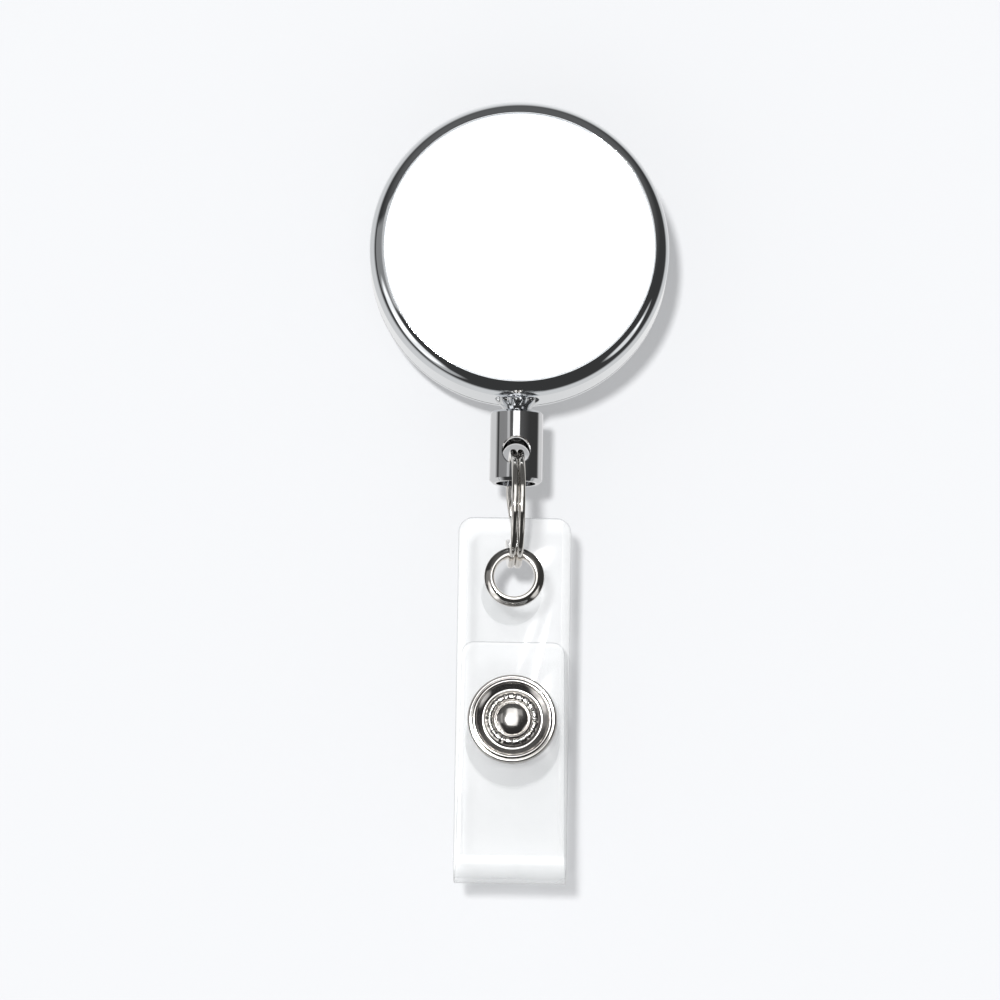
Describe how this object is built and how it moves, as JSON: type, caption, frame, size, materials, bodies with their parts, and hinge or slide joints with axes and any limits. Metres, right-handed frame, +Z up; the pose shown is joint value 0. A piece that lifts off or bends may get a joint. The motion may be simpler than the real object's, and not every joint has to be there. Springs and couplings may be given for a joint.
{
  "type": "retractable badge reel",
  "caption": "Round chrome badge reel with a spring-wound cord, swivel barrel, split ring, clear vinyl snap strap and belt clip.",
  "frame": {"origin": "on the case's axis, at the back cover's outer face, where the belt clip is riveted on", "axes": "+Z up as worn, +X to the right seen from the front, -Y out of the label"},
  "size_m": [0.032, 0.0147, 0.0838],
  "materials": {
    "case_chrome": "polished chrome plate, mirror bright",
    "collar_chrome": "polished chrome plate",
    "barrel_chrome": "polished chrome plate, turned",
    "label_white": "plain white printed disc, smooth",
    "adhesive": "adhesive film",
    "clip_steel": "nickel-plated spring steel",
    "rivet_steel": "turned steel",
    "washer_nylon": "natural nylon",
    "spool_plastic": "moulded black acetal",
    "spring_steel": "blued spring steel strip",
    "cord_nylon": "braided black nylon",
    "ring_nickel": "bright nickel plate",
    "snap_nickel": "bright nickel plate",
    "vinyl_clear": "clear flexible vinyl, slightly milky"
  },
  "bodies": {
    "case": {"front_shell": "case_chrome", "insert_adhesive": "adhesive", "insert_disc": "label_white", "back_cover": "case_chrome", "outlet_bush": "collar_chrome", "arbor_post": "rivet_steel", "front_washer": "washer_nylon", "rear_washer": "washer_nylon", "cord_lead": "cord_nylon", "clip_base": "clip_steel", "clip_bend": "clip_steel", "clip_rivets": "rivet_steel"},
    "spool": {"spool_drum": "spool_plastic", "spring_cover": "spool_plastic", "power_spring": "spring_steel", "cord_winding": "cord_nylon", "cord_anchor_knot": "cord_nylon"},
    "cord_end": {"cord_tail": "cord_nylon", "cord_stop": "cord_nylon"},
    "barrel": {"swivel_barrel": "barrel_chrome"},
    "ring": {"split_ring": "ring_nickel"},
    "strap": {"strap_back": "vinyl_clear", "strap_fold": "vinyl_clear", "eyelet": "ring_nickel", "eyelet_washer": "ring_nickel", "snap_stud": "snap_nickel", "snap_post": "snap_nickel"},
    "flap": {"strap_flap": "vinyl_clear", "snap_cap": "snap_nickel", "snap_socket": "snap_nickel"},
    "clip": {"clip_arm": "clip_steel"}
  },
  "joints": [
    {"name": "cord_pull", "type": "slide", "parent": "case", "child": "cord_end", "axis": [0, 0, -1], "range_m": [0, 0.86], "stiffness_N_per_m": 0.8, "springref_m": -1.2},
    {"name": "spool_spin", "type": "hinge", "parent": "case", "child": "spool", "pos_m": [0, -0.0045, 0], "axis": [0, 1, 0], "range_deg": [0, 4150], "deforming": ["power_spring"]},
    {"name": "barrel_swivel", "type": "hinge", "parent": "cord_end", "child": "barrel", "pos_m": [0, -0.0045, -0.0217], "axis": [0, 0, 1], "continuous": true},
    {"name": "ring_swing", "type": "hinge", "parent": "barrel", "child": "ring", "pos_m": [0, -0.0045, -0.0217], "axis": [0, 1, 0], "range_deg": [-60, 60]},
    {"name": "strap_swing", "type": "hinge", "parent": "ring", "child": "strap", "pos_m": [0, -0.0045, -0.0276], "axis": [0.9986, 0.0523, 0], "range_deg": [-75, 75]},
    {"name": "flap_open", "type": "hinge", "parent": "strap", "child": "flap", "pos_m": [0, -0.00592, -0.06615], "axis": [1, 0, 0], "range_deg": [0, 120], "deforming": ["strap_fold"]},
    {"name": "clip_flex", "type": "hinge", "parent": "case", "child": "clip", "pos_m": [0, 0.0018, 0.0098], "axis": [1, 0, 0], "range_deg": [0, 12], "stiffness_Nm_per_rad": 0.8, "springref_deg": -2.86, "deforming": ["clip_bend"]}
  ],
  "couplings": [
    {"joint": "spool_spin", "follows": "cord_pull", "rad_per_m": 84}
  ]
}
